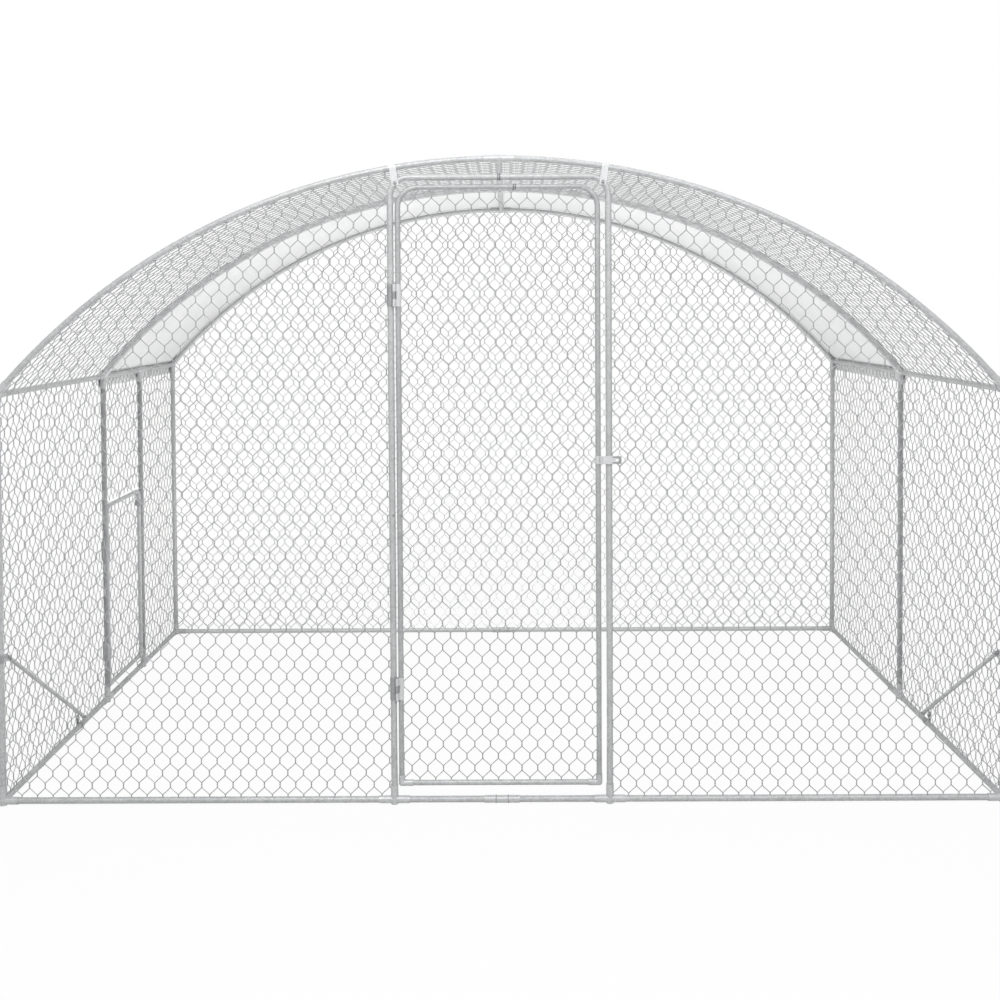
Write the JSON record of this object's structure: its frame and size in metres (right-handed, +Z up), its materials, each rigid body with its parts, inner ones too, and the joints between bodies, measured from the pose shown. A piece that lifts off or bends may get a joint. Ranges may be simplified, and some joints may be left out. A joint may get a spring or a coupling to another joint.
{
  "type": "walk-in chicken run",
  "caption": "Arched walk-in poultry run: galvanised tube frame with hexagonal wire netting, a hinged front door, a low side door and a cover over the rear bay.",
  "frame": {"origin": "on the ground at the centre of the bounding box", "axes": "+X to the right across the front as seen from outside the front door, +Y from the front to the back, +Z up"},
  "size_m": [3.0134, 2.012, 1.9287],
  "materials": {
    "tube": "galvanised, satin",
    "fitting": "galvanised, bright",
    "hardware": "zinc plated, satin",
    "netting": "galvanised wire",
    "cover": "plain woven sheet"
  },
  "bodies": {
    "frame": {"front_post_left": "tube", "front_post_right": "tube", "mid_post_left": "tube", "mid_post_right": "tube", "rear_post_left": "tube", "rear_post_right": "tube", "front_arch_left": "tube", "front_arch_right": "tube", "mid_arch_left": "tube", "mid_arch_right": "tube", "rear_arch_left": "tube", "rear_arch_right": "tube", "ridge_rails": "tube", "eave_rails_left": "tube", "eave_rails_right": "tube", "base_rails_front": "tube", "base_rails_rear": "tube", "base_rails_left": "tube", "base_rails_right": "tube", "door_posts": "tube", "door_frame_left": "tube", "door_frame_right": "tube", "side_door_post": "tube", "braces": "tube", "base_couplers": "fitting", "base_fittings": "fitting", "post_tees": "fitting", "eave_fittings": "fitting", "ridge_fittings": "fitting", "door_frame_straps": "fitting", "frame_bolts": "hardware", "brace_brackets": "hardware", "hinge_post_clamps": "hardware", "hinge_pins": "hardware", "latch_keepers": "hardware", "net_front_left": "netting", "net_front_right": "netting", "net_left_front": "netting", "net_left_rear": "netting", "net_right": "netting", "net_rear": "netting", "net_roof": "netting", "roof_cover": "cover"},
    "door": {"leaf_stiles": "tube", "leaf_hoop_left": "tube", "leaf_hoop_right": "tube", "leaf_bottom_rail": "tube", "leaf_elbows": "fitting", "leaf_net": "netting", "leaf_hinge_clamps": "hardware", "leaf_latch_clamp": "hardware"},
    "door_hasp": {"leaf_hasp": "hardware"},
    "side_door": {"side_leaf_hoop": "tube", "side_leaf_bottom_rail": "tube", "side_leaf_elbows": "fitting", "side_leaf_net": "netting", "side_leaf_hinge_clamps": "hardware", "side_leaf_latch_clamp": "hardware"},
    "side_door_hasp": {"side_leaf_hasp": "hardware"}
  },
  "joints": [
    {"name": "door_swing", "type": "hinge", "parent": "frame", "child": "door", "pos_m": [-0.30773, -1.00147, 0.9], "axis": [0, 0, -1], "range_deg": [0, 150]},
    {"name": "door_hasp_swing", "type": "hinge", "parent": "door", "child": "door_hasp", "pos_m": [0.29928, -1.00248, 1.026], "axis": [0, 0, -1], "range_deg": [0, 160]},
    {"name": "side_door_swing", "type": "hinge", "parent": "frame", "child": "side_door", "pos_m": [-1.50222, 0.01402, 0.38], "axis": [0, 0, 1], "range_deg": [0, 150]},
    {"name": "side_door_hasp_swing", "type": "hinge", "parent": "side_door", "child": "side_door_hasp", "pos_m": [-1.50323, 0.45103, 0.685], "axis": [0, 0, 1], "range_deg": [0, 160]}
  ]
}
